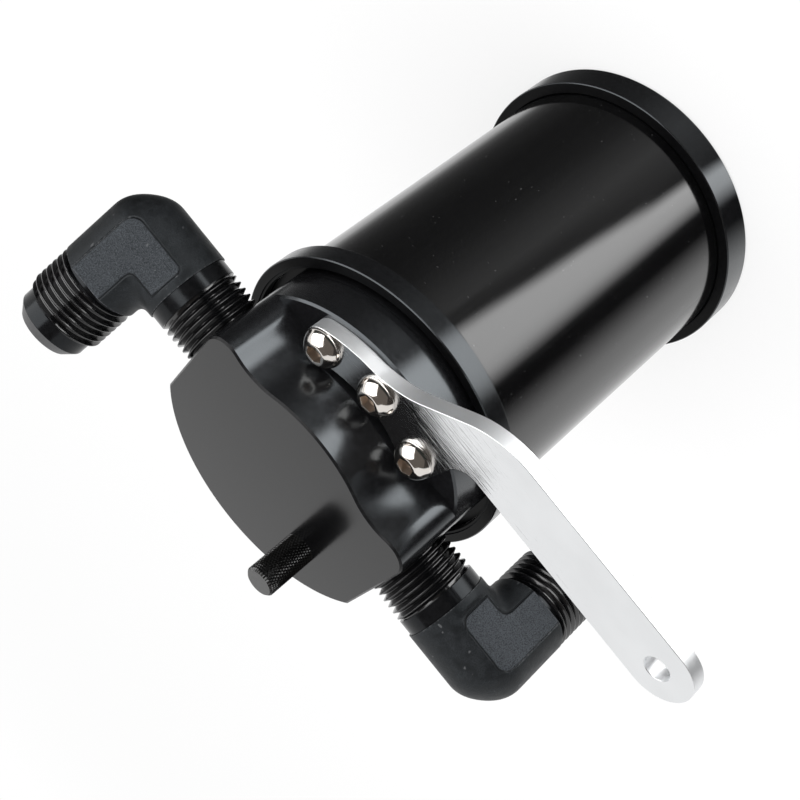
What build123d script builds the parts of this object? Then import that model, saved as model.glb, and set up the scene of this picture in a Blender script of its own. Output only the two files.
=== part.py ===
import os
from math import cos, hypot, radians, sin, sqrt, tan

from build123d import *

# Oil catch can, in millimetres. It stands on its bottom cap with +Z up the axis of the can,
# X through the two ports of the head and +Y towards the bracket.

# Tube, with a pressed ring at each end
tube_od = 76.0
tube_wall = 3.0
tube_length = 98.5
ring_wall = 3.2
ring_gap = 0.05
edge_break = 0.5

# Collar at the upper end
collar_height = 5.8
collar_stand = 3.1

# Bottom cap
cap_height = 9.0
cap_floor = 5.0
cap_spigot_height = 10.0
cap_spigot_wall = 4.0
cap_spigot_gap = 0.15
cap_groove_rise = 5.0

# Round seals and their grooves
seal_section = 2.4
seal_play = 0.05
seal_static_gap = 0.05
seal_sliding_gap = 0.3
groove_side_play = 0.3

# Drain plug in the middle of the bottom cap
plug_thread_d = 10.0
plug_thread_gap = 0.1
plug_flange_d = 14.0
plug_flange_height = 2.2
plug_hex = 5.0
plug_hex_depth = 4.0
plug_recess_d = 16.0
plug_recess_depth = 4.0
plug_washer_height = 1.0
drain_boss_d = 22.0
drain_boss_height = 7.0

# Head: flange, scalloped block and spigot
head_gap = 0.95
head_flat_depth = 2.7
flange_height = 14.25
block_height = 18.85
block_overhang = 0.45
block_gap = 0.4
lobe_r = 32.0
lobe_setback = 7.2
shoulder_r = 6.0
shoulder_drop = 4.4
scallop_r = 16.0
spigot_length = 11.5
spigot_gap = 0.4
spigot_groove_drop = 4.5
pocket_wall = 4.6
pocket_height = 15.0

# Ports with tapered pipe thread, one in each flat
port_rise = 7.2
port_r = 10.5
port_taper = 1 / 32
port_engaged = 9.0
port_depth = 10.0
port_gap = 0.05
passage_r = 6.5
passage_edge = 9.0
passage_end_wall = 1.0

# Elbows
elbow_reach = 29.7
elbow_body_r = 11.1
elbow_pad = 9.95
elbow_pad_border = 2.5
elbow_break = 0.4
elbow_inner_fillet = 3.0
elbow_bore_r = 6.2
elbow_arm_body = 15.2
elbow_ring_r = 10.7
elbow_ring_length = 4.0
flare_body = 15.8
flare_relief_r = 9.9
flare_relief_length = 1.0
flare_thread_r = 11.0
flare_thread_end = 28.7
flare_nose_r = 9.6
flare_nose_end = 32.5
flare_angle = 37.0
flare_tip_r = 7.4
inlet_roll = -47.5
inlet_extra_turn = 0.3
outlet_roll = 180.0

# Bracket and its screws
bracket_thickness = 4.0
bracket_half_band = 5.35
bracket_reach = 45.1
bracket_offset = 18.25
bracket_hole_d = 6.6
bracket_arm_width = 18.3
bracket_root = 13.9
bracket_rise_angle = 45.0
bracket_root_fillet = 24.0
bracket_bend_fillet = 23.0
bracket_crotch_fillet = 6.0
screw_edge = 6.6
screw_spread = 32.0
screw_d = 6.0
screw_hole_gap = 0.2
screw_tap_gap = 0.05
screw_length = 12.0
screw_tap_depth = 9.0
screw_head_d = 10.5
screw_head_height = 3.3
screw_crown_d = 5.8
screw_rim = 0.4
screw_hex = 4.0
screw_hex_depth = 2.1

# Dipstick
dipstick_edge = 5.8
dipstick_angle = -46.7
knob_d = 8.5
knob_height = 14.2
knob_chamfer = 0.6
shank_d = 5.6
shank_length = 8.0
shank_gap = 0.3
shank_seal_section = 1.2
shank_seal_drop = 2.2
rod_d = 3.0
rod_gap = 0.05
rod_engaged = 3.5
rod_foot_gap = 4.0

# Inlet pipe, filter and baffle under the head
drop_tube_d = 14.0
drop_tube_wall = 1.0
drop_tube_gap = 0.05
drop_tube_engaged = 6.0
drop_tube_length = 61.0
post_edge = 4.0
post_start_angle = 30.0
post_count = 3
post_hex = 7.0
post_length = 25.5
stud_d = 4.0
stud_length = 6.0
stud_gap = 0.05
baffle_gap = 0.8
baffle_thickness = 1.5
baffle_hole_d = 5.0
baffle_ring_pitch = 8.5
baffle_ring_holes = 7
baffle_hole_margin = 1.5
pad_gap = 0.3
pad_clearance = 0.4
baffle_screw_d = 4.0
baffle_screw_length = 8.0
baffle_screw_head_d = 7.6
baffle_screw_head_height = 2.2
baffle_screw_hex = 2.5
baffle_screw_hex_depth = 1.3

# Worked out from the sizes above
tube_r = tube_od / 2
bore_r = tube_r - tube_wall
ring_bore_r = tube_r + ring_gap
ring_r = ring_bore_r + ring_wall
head_r = ring_bore_r - head_gap
block_r = ring_bore_r + block_overhang
flat_x = head_r - head_flat_depth
seal_r = seal_section / 2
seat_z = cap_floor + tube_length
ledge_z = seat_z + flange_height
top_z = ledge_z + block_height
port_z = ledge_z + port_rise
spigot_r = bore_r - spigot_gap
pocket_r = spigot_r - pocket_wall
passage_x = pocket_r - passage_edge
post_circle_r = pocket_r - post_edge
baffle_r = bore_r - baffle_gap
screw_circle_r = head_r - screw_edge
lobe_crest = screw_circle_r - lobe_setback
shoulder_crest = lobe_crest - shoulder_drop
bracket_hole_x = head_r + bracket_reach
bracket_hole_y = screw_circle_r + bracket_offset
bracket_root_x = head_r - bracket_root
dipstick_x = (pocket_r - dipstick_edge) * cos(radians(dipstick_angle))
dipstick_y = (pocket_r - dipstick_edge) * sin(radians(dipstick_angle))
roof_z = seat_z - spigot_length + pocket_height
head_groove_z = seat_z - spigot_groove_drop
cap_spigot_r = bore_r - cap_spigot_gap
cap_groove_z = cap_floor + cap_groove_rise
groove_width = seal_section + 2 * groove_side_play
groove_depth_r = bore_r - seal_section - seal_play
corner_x = flat_x + elbow_reach
collar_z = seat_z + collar_stand - collar_height
block_z = seat_z + collar_stand + block_gap
bracket_top_z = ledge_z + bracket_thickness
baffle_top_z = roof_z - post_length
screw_angles = (90 - screw_spread, 90, 90 + screw_spread)
screw_spots = [(screw_circle_r * cos(radians(a)), screw_circle_r * sin(radians(a))) for a in screw_angles]
post_angles = [post_start_angle + i * 360 / post_count for i in range(post_count)]
post_spots = [(post_circle_r * cos(radians(a)), post_circle_r * sin(radians(a))) for a in post_angles]


def side_plane(x, y, z):
    # Upright plane through a point: local x is radius, local y is height
    return Plane(origin=(x, y, z), x_dir=(1, 0, 0), z_dir=(0, -1, 0))


def seal_ring(label, outer_r, z, section_r, x=0.0, y=0.0):
    with BuildPart() as ring:
        with BuildSketch(side_plane(x, y, z)):
            with Locations((outer_r - section_r, 0)):
                Circle(section_r)
        revolve(axis=Axis((x, y, z), (0, 0, 1)))
    ring.part.label = label
    return ring.part


def button_screws(label, spots, seat, up, sizes):
    # Domed screws with a hexagon socket; up is +1 for heads on top and -1 for heads underneath
    shank_r, length, head_r, height, crown_r, rim, hexagon, hex_depth = sizes
    with BuildPart() as screws:
        for x, y in spots:
            with BuildSketch(Plane(origin=(x, y, seat), x_dir=(1, 0, 0), z_dir=(0, -up, 0))):
                with BuildLine():
                    Polyline((0, height), (0, -length), (shank_r, -length), (shank_r, 0), (head_r, 0),
                             (head_r, rim))
                    RadiusArc((head_r, rim), (crown_r, height), -head_r)
                    Line((crown_r, height), (0, height))
                make_face()
            revolve(axis=Axis((x, y, seat), (0, 0, 1)))
            with BuildSketch(Plane(origin=(x, y, seat + up * height), x_dir=(1, 0, 0), z_dir=(0, 0, -up))):
                RegularPolygon(hexagon / 2, 6, major_radius=False)
            extrude(amount=hex_depth, mode=Mode.SUBTRACT)
    screws.part.label = label
    return screws.part


def tangent_centre(centre_a, radius_a, centre_b, radius_b, radius):
    # Centre of the circle that touches two others from outside, on the +Y side
    ax, ay = centre_a
    bx, by = centre_b
    span = hypot(bx - ax, by - ay)
    from_a = radius_a + radius
    from_b = radius_b + radius
    along = (from_a ** 2 - from_b ** 2 + span ** 2) / (2 * span)
    off = sqrt(from_a ** 2 - along ** 2)
    ux, uy = (bx - ax) / span, (by - ay) / span
    return ax + along * ux - off * uy, ay + along * uy + off * ux


def toward(centre, target, radius):
    # Point on a circle in the direction of another point
    reach = hypot(target[0] - centre[0], target[1] - centre[1])
    share = radius / reach
    return centre[0] + (target[0] - centre[0]) * share, centre[1] + (target[1] - centre[1]) * share


def arc_between(centre, radius, start, end):
    middle = toward(centre, ((start[0] + end[0]) / 2, (start[1] + end[1]) / 2), radius)
    return ThreePointArc(start, middle, end)


# Tube
with BuildPart() as tube:
    with BuildSketch(Plane.XY.offset(cap_floor)):
        Circle(tube_r)
        Circle(bore_r, mode=Mode.SUBTRACT)
    extrude(amount=tube_length)
tube.part.label = "tube"

# Collar: stands above the tube's end, so a narrow groove shows round the head
with BuildPart() as collar:
    with BuildSketch(Plane.XY.offset(collar_z)):
        Circle(ring_r)
        Circle(ring_bore_r, mode=Mode.SUBTRACT)
    extrude(amount=collar_height)
    chamfer(collar.edges().filter_by(GeomType.CIRCLE).group_by(SortBy.RADIUS)[-1], edge_break)
collar.part.label = "collar"

# Bottom cap: foot disc, seat for the tube, sealed spigot inside it and a drain boss
with BuildPart() as bottom_cap:
    with BuildSketch():
        Circle(ring_r)
    extrude(amount=cap_height)
    chamfer(bottom_cap.edges().filter_by(GeomType.CIRCLE), edge_break)
    with BuildSketch(Plane.XY.offset(cap_floor)):
        Circle(ring_bore_r)
    extrude(amount=cap_height - cap_floor, mode=Mode.SUBTRACT)
    with BuildSketch(Plane.XY.offset(cap_floor)):
        Circle(cap_spigot_r)
        Circle(cap_spigot_r - cap_spigot_wall, mode=Mode.SUBTRACT)
    extrude(amount=cap_spigot_height)
    with BuildSketch(Plane.XY.offset(cap_groove_z - groove_width / 2)):
        Circle(cap_spigot_r)
        Circle(groove_depth_r - seal_static_gap, mode=Mode.SUBTRACT)
    extrude(amount=groove_width, mode=Mode.SUBTRACT)
    with BuildSketch(Plane.XY.offset(cap_floor)):
        Circle(drain_boss_d / 2)
    extrude(amount=drain_boss_height)
    with Locations(Location((0, 0, 0), (180, 0, 0))):
        CounterBoreHole(plug_thread_d / 2 + plug_thread_gap, plug_recess_d / 2, plug_recess_depth,
                        depth=cap_floor + drain_boss_height)
bottom_cap.part.label = "bottom_cap"

cap_seal = seal_ring("cap_seal", bore_r - seal_static_gap, cap_groove_z, seal_r)

# Drain plug and its washer, both inside the recess
with BuildPart() as drain_plug:
    flange_top = plug_recess_depth - plug_washer_height
    with BuildSketch(Plane.XY.offset(flange_top - plug_flange_height)):
        Circle(plug_flange_d / 2)
    extrude(amount=plug_flange_height)
    chamfer(drain_plug.edges().group_by(Axis.Z)[0], edge_break)
    with BuildSketch(Plane.XY.offset(flange_top)):
        Circle(plug_thread_d / 2)
    extrude(amount=cap_floor + drain_boss_height - flange_top)
    with BuildSketch(Plane.XY.offset(flange_top - plug_flange_height)):
        RegularPolygon(plug_hex / 2, 6, major_radius=False)
    extrude(amount=plug_hex_depth, mode=Mode.SUBTRACT)
drain_plug.part.label = "drain_plug"

with BuildPart() as drain_washer:
    with BuildSketch(Plane.XY.offset(flange_top)):
        Circle(plug_flange_d / 2)
        Circle(plug_thread_d / 2 + plug_thread_gap, mode=Mode.SUBTRACT)
    extrude(amount=plug_washer_height)
drain_washer.part.label = "drain_washer"

# Head: flats on both sides, and above the ledge a wall with one lobe between two scallops
lobe_centre = (0.0, lobe_crest - lobe_r)
shoulder_centre = (flat_x - shoulder_r, shoulder_crest - shoulder_r)
scallop_centre = tangent_centre(lobe_centre, lobe_r, shoulder_centre, shoulder_r, scallop_r)
lobe_end = toward(lobe_centre, scallop_centre, lobe_r)
shoulder_end = toward(shoulder_centre, scallop_centre, shoulder_r)
flat_end = (flat_x, -sqrt(block_r ** 2 - flat_x ** 2))

with BuildPart() as head:
    with BuildSketch(Plane.XY.offset(seat_z)):
        Circle(head_r)
        Rectangle(2 * flat_x, 2 * head_r, mode=Mode.INTERSECT)
    extrude(amount=flange_height)
    chamfer(head.edges().group_by(Axis.Z)[-1], edge_break)
    with BuildSketch(Plane.XY.offset(block_z)):
        with BuildLine():
            arc_between((0.0, 0.0), block_r, (0.0, -block_r), flat_end)
            Line(flat_end, (flat_x, shoulder_centre[1]))
            arc_between(shoulder_centre, shoulder_r, (flat_x, shoulder_centre[1]), shoulder_end)
            arc_between(scallop_centre, scallop_r, shoulder_end, lobe_end)
            arc_between(lobe_centre, lobe_r, lobe_end, (0.0, lobe_crest))
            mirror(about=Plane.YZ)
        make_face()
    extrude(amount=top_z - block_z)
    chamfer(head.faces().sort_by(Axis.Z)[-1].edges(), edge_break)

    # Spigot with its seal groove, and the pocket inside it
    with BuildSketch(Plane.XY.offset(seat_z)):
        Circle(spigot_r)
    extrude(amount=-spigot_length)
    with BuildSketch(Plane.XY.offset(head_groove_z - groove_width / 2)):
        Circle(spigot_r)
        Circle(groove_depth_r - seal_sliding_gap, mode=Mode.SUBTRACT)
    extrude(amount=groove_width, mode=Mode.SUBTRACT)
    with BuildSketch(Plane.XY.offset(roof_z)):
        Circle(pocket_r)
    extrude(amount=-pocket_height, mode=Mode.SUBTRACT)

    # Tapered port and gas passage on each side
    for side in (-1, 1):
        mouth_r = port_r + port_gap
        inner_x = passage_x - passage_r - passage_end_wall
        with BuildSketch(side_plane(0, 0, port_z)):
            Polygon((side * (flat_x + 1), 0), (side * (flat_x + 1), mouth_r), (side * flat_x, mouth_r),
                    (side * (flat_x - port_depth), mouth_r - port_depth * port_taper),
                    (side * (flat_x - port_depth), passage_r), (side * inner_x, passage_r),
                    (side * inner_x, 0), align=None)
        revolve(axis=Axis((0, 0, port_z), (1, 0, 0)), mode=Mode.SUBTRACT)
        with BuildSketch(Plane.XY.offset(roof_z)):
            with Locations((side * passage_x, 0)):
                Circle(passage_r)
        extrude(amount=port_z - roof_z, mode=Mode.SUBTRACT)

    # Seat of the inlet pipe, tapped holes and the dipstick's hole
    with BuildSketch(Plane.XY.offset(roof_z)):
        with Locations((-passage_x, 0)):
            Circle(drop_tube_d / 2 + drop_tube_gap)
    extrude(amount=drop_tube_engaged, mode=Mode.SUBTRACT)
    with BuildSketch(Plane.XY.offset(roof_z)):
        with Locations(*post_spots):
            Circle(stud_d / 2 + stud_gap)
    extrude(amount=stud_length, mode=Mode.SUBTRACT)
    with BuildSketch(Plane.XY.offset(ledge_z)):
        with Locations(*screw_spots):
            Circle(screw_d / 2 + screw_tap_gap)
    extrude(amount=-screw_tap_depth, mode=Mode.SUBTRACT)
    with BuildSketch(Plane.XY.offset(top_z)):
        with Locations((dipstick_x, dipstick_y)):
            Circle(shank_d / 2 + shank_gap)
    extrude(amount=roof_z - top_z, mode=Mode.SUBTRACT)
head.part.label = "head"

head_seal = seal_ring("head_seal", bore_r - seal_sliding_gap, head_groove_z, seal_r)


def make_elbow(label, side, roll, extra_turn):
    # Forged elbow: tapered pipe thread along X into the head, flared hose end at right angles to it
    corner = Vector(side * (corner_x - extra_turn), 0, port_z)
    to_head = Vector(-side, 0, 0)
    leg = Vector(0, sin(radians(roll)), cos(radians(roll)))
    section = Plane(origin=corner, x_dir=to_head, z_dir=to_head.cross(leg))
    arm_axis = Axis(corner, to_head)
    leg_axis = Axis(corner, leg)
    thread_start = elbow_arm_body + elbow_ring_length
    arm_end = elbow_reach + port_engaged
    start_r = port_r + (elbow_reach - thread_start) * port_taper
    end_r = port_r - port_engaged * port_taper
    tip = flare_nose_end + (flare_nose_r - flare_tip_r) / tan(radians(flare_angle))
    lead = flare_thread_r - flare_relief_r
    diagonal = elbow_body_r * sin(radians(45))
    with BuildPart() as elbow:
        with BuildSketch(section):
            with BuildLine():
                ThreePointArc((0, -elbow_body_r), (diagonal, -diagonal), (elbow_body_r, 0))
                Polyline((elbow_body_r, 0), (elbow_body_r, flare_body - elbow_break),
                         (elbow_body_r - elbow_break, flare_body), (flare_relief_r, flare_body),
                         (flare_relief_r, flare_body + flare_relief_length),
                         (flare_thread_r, flare_body + flare_relief_length + lead),
                         (flare_thread_r, flare_thread_end - lead), (flare_nose_r, flare_thread_end),
                         (flare_nose_r, flare_nose_end), (flare_tip_r, tip), (0, tip), (0, -elbow_body_r))
            make_face()
        revolve(axis=leg_axis)
        with BuildSketch(section):
            Polygon((0, 0), (0, elbow_body_r), (elbow_arm_body - elbow_break, elbow_body_r),
                    (elbow_arm_body, elbow_body_r - elbow_break), (elbow_arm_body, elbow_ring_r),
                    (thread_start, elbow_ring_r), (thread_start, start_r), (arm_end, end_r), (arm_end, 0),
                    align=None)
        revolve(axis=arm_axis)

        # Flat forging pads on both faces of the bend
        pad_width = elbow_arm_body - elbow_pad_border + elbow_body_r
        pad_length = flare_body + elbow_body_r
        for face in (-1, 1):
            with BuildSketch(section.offset(face * elbow_pad)):
                with Locations((pad_width / 2 - elbow_body_r, pad_length / 2 - elbow_body_r)):
                    Rectangle(pad_width, pad_length)
            extrude(amount=face * elbow_body_r, mode=Mode.SUBTRACT)
        crotch = section.from_local_coords((elbow_body_r, elbow_body_r, 0))
        fillet(elbow.edges().sort_by_distance(crotch)[0], elbow_inner_fillet)

        # Bore through both legs
        for direction, length in ((to_head, arm_end), (leg, tip)):
            with BuildSketch(Plane(origin=corner, z_dir=direction)):
                Circle(elbow_bore_r)
            extrude(amount=length, mode=Mode.SUBTRACT)
    elbow.part.label = label
    return elbow.part


inlet_elbow = make_elbow("inlet_elbow", -1, inlet_roll, inlet_extra_turn)
outlet_elbow = make_elbow("outlet_elbow", 1, outlet_roll, 0.0)

# Bracket: a curved band under the screws, and a cranked arm with a round end
arm_low = bracket_hole_y - bracket_arm_width / 2
arm_high = bracket_hole_y + bracket_arm_width / 2
rise = tan(radians(bracket_rise_angle))
band_end_x = screw_spots[0][0] + bracket_half_band
with BuildPart() as bracket:
    with BuildSketch(Plane.XY.offset(ledge_z)) as plate:
        with BuildLine(mode=Mode.PRIVATE) as screw_line:
            CenterArc((0, 0), screw_circle_r, 90 - screw_spread, 2 * screw_spread)
        SlotArc(screw_line.edge(), 2 * bracket_half_band)
        Polygon((bracket_root_x, arm_high), (bracket_hole_x, arm_high), (bracket_hole_x, arm_low),
                (bracket_root_x, arm_low), (band_end_x, screw_spots[0][1]), screw_spots[0], screw_spots[1],
                (bracket_root_x - (arm_high - screw_circle_r) / rise, screw_circle_r), align=None)
        with Locations((bracket_hole_x, bracket_hole_y)):
            Circle(bracket_arm_width / 2)
        bend = plate.vertices().sort_by_distance((bracket_root_x, arm_high, 0))[0]
        fillet(bend, bracket_bend_fillet)
        crotch = plate.vertices().sort_by_distance((bracket_root_x, arm_low, 0))[0]
        fillet(crotch, bracket_crotch_fillet)
        outer_r = screw_circle_r + bracket_half_band
        root = plate.vertices().sort_by_distance((0, outer_r, 0))[0]
        fillet(root, bracket_root_fillet)
        with Locations((bracket_hole_x, bracket_hole_y)):
            Circle(bracket_hole_d / 2, mode=Mode.SUBTRACT)
        with Locations(*screw_spots):
            Circle(screw_d / 2 + screw_hole_gap, mode=Mode.SUBTRACT)
    extrude(amount=bracket_thickness)
bracket.part.label = "bracket"

bracket_screws = button_screws(
    "bracket_screws", screw_spots, bracket_top_z, 1,
    (screw_d / 2, screw_length, screw_head_d / 2, screw_head_height, screw_crown_d / 2, screw_rim,
     screw_hex, screw_hex_depth))

# Dipstick: knob with a sealed shank, and a rod that reaches near the floor of the can
shank_seal_r = shank_seal_section / 2
shank_groove_r = shank_d / 2 - shank_seal_section - seal_play
shank_groove_z = top_z - shank_seal_drop
with BuildPart() as dipstick_knob:
    with BuildSketch(Plane.XY.offset(top_z)):
        with Locations((dipstick_x, dipstick_y)):
            Circle(knob_d / 2)
    extrude(amount=knob_height)
    chamfer(dipstick_knob.edges().group_by(Axis.Z)[-1], knob_chamfer)
    with BuildSketch(Plane.XY.offset(top_z)):
        with Locations((dipstick_x, dipstick_y)):
            Circle(shank_d / 2)
    extrude(amount=-shank_length)
    with BuildSketch(Plane.XY.offset(shank_groove_z - shank_seal_r - seal_play)):
        with Locations((dipstick_x, dipstick_y)):
            Circle(shank_d / 2)
            Circle(shank_groove_r, mode=Mode.SUBTRACT)
    extrude(amount=shank_seal_section + 2 * seal_play, mode=Mode.SUBTRACT)
    with BuildSketch(Plane.XY.offset(top_z - shank_length)):
        with Locations((dipstick_x, dipstick_y)):
            Circle(rod_d / 2 + rod_gap)
    extrude(amount=rod_engaged, mode=Mode.SUBTRACT)
dipstick_knob.part.label = "dipstick_knob"

rod_top_z = top_z - shank_length + rod_engaged
rod_foot_z = cap_floor + rod_foot_gap
with BuildPart() as dipstick_rod:
    with BuildSketch(Plane.XY.offset(rod_foot_z)):
        with Locations((dipstick_x, dipstick_y)):
            Circle(rod_d / 2)
    extrude(amount=rod_top_z - rod_foot_z)
    chamfer(dipstick_rod.edges().group_by(Axis.Z)[0], edge_break)
dipstick_rod.part.label = "dipstick_rod"

dipstick_seal = seal_ring("dipstick_seal", shank_d / 2, shank_groove_z, shank_seal_r, dipstick_x, dipstick_y)

# Inlet pipe: leads the gas from the inlet passage to below the filter
with BuildPart() as drop_tube:
    with BuildSketch(Plane.XY.offset(roof_z + drop_tube_engaged)):
        with Locations((-passage_x, 0)):
            Circle(drop_tube_d / 2)
            Circle(drop_tube_d / 2 - drop_tube_wall, mode=Mode.SUBTRACT)
    extrude(amount=-drop_tube_length)
drop_tube.part.label = "drop_tube"

# Posts: hexagon bodies with a stud screwed into the head and a tapped foot
with BuildPart() as baffle_posts:
    with BuildSketch(Plane.XY.offset(baffle_top_z)):
        with Locations(*post_spots):
            RegularPolygon(post_hex / 2, 6, major_radius=False)
    extrude(amount=post_length)
    with BuildSketch(Plane.XY.offset(roof_z)):
        with Locations(*post_spots):
            Circle(stud_d / 2)
    extrude(amount=stud_length)
    with BuildSketch(Plane.XY.offset(baffle_top_z)):
        with Locations(*post_spots):
            Circle(baffle_screw_d / 2 + stud_gap)
    extrude(amount=baffle_screw_length, mode=Mode.SUBTRACT)
baffle_posts.part.label = "baffle_posts"

# What passes through the filter and the baffle: place and radius
pass_spots = [(-passage_x, 0.0, drop_tube_d / 2), (dipstick_x, dipstick_y, rod_d / 2)]
post_passes = [(x, y, post_hex / 2) for x, y in post_spots]


def baffle_spots():
    # Rings of holes, leaving out those that would touch a post, the pipe or the rod
    spots = []
    reach = baffle_hole_d / 2 + baffle_hole_margin
    rings = int((baffle_r - reach) / baffle_ring_pitch)
    for ring in range(1, rings + 1):
        count = baffle_ring_holes * ring
        for i in range(count):
            angle = radians(360 * i / count)
            x = ring * baffle_ring_pitch * cos(angle)
            y = ring * baffle_ring_pitch * sin(angle)
            clear = [hypot(x - px, y - py) - pr for px, py, pr in pass_spots + post_passes]
            if min(clear) > reach:
                spots.append((x, y))
    return spots


with BuildPart() as baffle_plate:
    with BuildSketch(Plane.XY.offset(baffle_top_z)):
        Circle(baffle_r)
        for x, y, r in pass_spots:
            with Locations((x, y)):
                Circle(r + pad_clearance, mode=Mode.SUBTRACT)
        with Locations(*post_spots):
            Circle(baffle_screw_d / 2 + stud_gap, mode=Mode.SUBTRACT)
        with Locations(*baffle_spots()):
            Circle(baffle_hole_d / 2, mode=Mode.SUBTRACT)
    extrude(amount=-baffle_thickness)
baffle_plate.part.label = "baffle_plate"

pad_height = seat_z - spigot_length - pad_gap - baffle_top_z
with BuildPart() as filter_pad:
    with BuildSketch(Plane.XY.offset(baffle_top_z)):
        Circle(baffle_r)
        for x, y, r in pass_spots:
            with Locations((x, y)):
                Circle(r + pad_clearance, mode=Mode.SUBTRACT)
        with Locations(*post_spots):
            RegularPolygon(post_hex / 2 + pad_clearance, 6, major_radius=False, mode=Mode.SUBTRACT)
    extrude(amount=pad_height)
filter_pad.part.label = "filter_pad"

baffle_screws = button_screws(
    "baffle_screws", post_spots, baffle_top_z - baffle_thickness, -1,
    (baffle_screw_d / 2, baffle_screw_length + baffle_thickness - stud_gap, baffle_screw_head_d / 2,
     baffle_screw_head_height, baffle_screw_head_d / 4, screw_rim, baffle_screw_hex,
     baffle_screw_hex_depth))

pieces = [
    tube.part, collar.part, bottom_cap.part, cap_seal, drain_plug.part, drain_washer.part,
    head.part, head_seal, inlet_elbow, outlet_elbow, bracket.part, bracket_screws,
    dipstick_knob.part, dipstick_rod.part, dipstick_seal,
    drop_tube.part, filter_pad.part, baffle_plate.part, baffle_posts.part, baffle_screws,
]
os.makedirs("parts", exist_ok=True)
for piece in pieces:
    export_step(piece, f"parts/{piece.label}.step")
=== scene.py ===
from math import atan2, cos, hypot, pi, radians, sin, sqrt

import bpy
from mathutils import Euler, Matrix, Vector


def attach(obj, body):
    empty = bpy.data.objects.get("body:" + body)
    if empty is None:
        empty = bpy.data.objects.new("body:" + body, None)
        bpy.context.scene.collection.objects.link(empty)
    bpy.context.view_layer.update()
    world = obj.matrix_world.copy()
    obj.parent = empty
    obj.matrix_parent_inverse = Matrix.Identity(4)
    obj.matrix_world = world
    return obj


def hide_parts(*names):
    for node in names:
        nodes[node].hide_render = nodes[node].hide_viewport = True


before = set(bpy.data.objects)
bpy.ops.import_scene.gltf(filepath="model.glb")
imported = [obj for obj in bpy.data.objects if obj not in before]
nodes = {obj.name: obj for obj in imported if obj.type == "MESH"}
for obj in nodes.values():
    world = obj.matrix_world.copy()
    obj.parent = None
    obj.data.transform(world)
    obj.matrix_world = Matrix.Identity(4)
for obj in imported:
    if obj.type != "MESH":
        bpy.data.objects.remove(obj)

scene = bpy.context.scene
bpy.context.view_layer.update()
print("frame loaded with", len(nodes), "nodes")

# Pieces are modelled in millimetres and brought to metres when they are placed
toMetres = Matrix.Scale(0.001, 4)
toMillimetres = Matrix.Scale(1000.0, 4)


def pickNone():
    bpy.ops.object.select_all(action="DESELECT")


def pick(*pieces):
    pickNone()
    for piece in pieces:
        piece.select_set(True)
    bpy.context.view_layer.objects.active = pieces[0]


def openMesh(piece, action="SELECT"):
    pick(piece)
    bpy.ops.object.mode_set(mode="EDIT")
    bpy.ops.mesh.select_mode(type="VERT")
    bpy.ops.mesh.select_all(action=action)


def closeMesh():
    bpy.ops.object.mode_set(mode="OBJECT")


def selectWhere(piece, test):
    # the points that pass the test, with the edges and faces between them
    openMesh(piece, "DESELECT")
    closeMesh()
    for point in piece.data.vertices:
        point.select = test(point.co)
    bpy.ops.object.mode_set(mode="EDIT")


def applyModifiers(piece):
    pick(piece)
    for modifier in list(piece.modifiers):
        bpy.ops.object.modifier_apply(modifier=modifier.name)


def joined(name, pieces):
    pick(*pieces)
    bpy.ops.object.join()
    pieces[0].name = name
    pieces[0].data.name = name
    return pieces[0]


def smoothed(piece, angle=30):
    pick(piece)
    bpy.ops.object.shade_smooth_by_angle(angle=radians(angle))


def evened(piece, angle=30):
    # smooth, with the wide faces staying true right up to their rounded edges
    smoothed(piece, angle)
    even = piece.modifiers.new("even", "WEIGHTED_NORMAL")
    even.weight = 95
    even.keep_sharp = True
    applyModifiers(piece)


def wireLoop(name, outline):
    # closed wire through (radius, height) points, in the XZ plane
    pickNone()
    bpy.ops.mesh.primitive_circle_add(vertices=len(outline), radius=1)
    piece = bpy.context.object
    piece.name = name
    piece.data.name = name
    for point, (radius, height) in zip(piece.data.vertices, outline):
        point.co = (radius, 0, height)
    return piece


def turned(name, outline, steps=128, edge=0.0):
    # closed outline spun round Z; its corners off the axis are rounded by the edge size
    piece = wireLoop(name, outline)
    if edge:
        selectWhere(piece, lambda co: co.x > 0.01)
        bpy.ops.mesh.bevel(offset=edge, segments=3, affect="VERTICES")
        closeMesh()
    openMesh(piece)
    bpy.ops.mesh.spin(steps=steps, angle=2 * pi, center=(0, 0, 0), axis=(0, 0, 1))
    bpy.ops.mesh.select_all(action="SELECT")
    bpy.ops.mesh.remove_doubles(threshold=0.0005)
    bpy.ops.mesh.delete_loose(use_verts=True, use_edges=True, use_faces=False)
    bpy.ops.mesh.select_all(action="SELECT")
    bpy.ops.mesh.normals_make_consistent(inside=False)
    closeMesh()
    return piece


def sleeve(inner, outer, low, high):
    # outline of a plain tube
    return [(inner, low), (outer, low), (outer, high), (inner, high)]


def cadCopy(node, name):
    # the node's own shape as a new piece in millimetres, its loose triangles merged
    piece = bpy.data.objects.new(name, nodes[node].data.copy())
    piece.data.name = name
    piece.data.materials.clear()
    scene.collection.objects.link(piece)
    piece.data.transform(toMillimetres)
    pick(piece)
    if piece.data.has_custom_normals:
        bpy.ops.mesh.customdata_custom_splitnormals_clear()
    openMesh(piece)
    bpy.ops.mesh.remove_doubles(threshold=0.001)
    closeMesh()
    return piece


def placed(piece, place=Matrix.Identity(4)):
    piece.data.transform(toMetres @ place)
    piece.data.update()
    return piece


def dress(piece, body, slot, *replaced):
    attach(piece, body)
    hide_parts(*replaced)


# Finishes

def addNode(tree, kind, **sockets):
    item = tree.nodes.new(kind)
    for name, value in sockets.items():
        item.inputs[name].default_value = value
    return item


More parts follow.
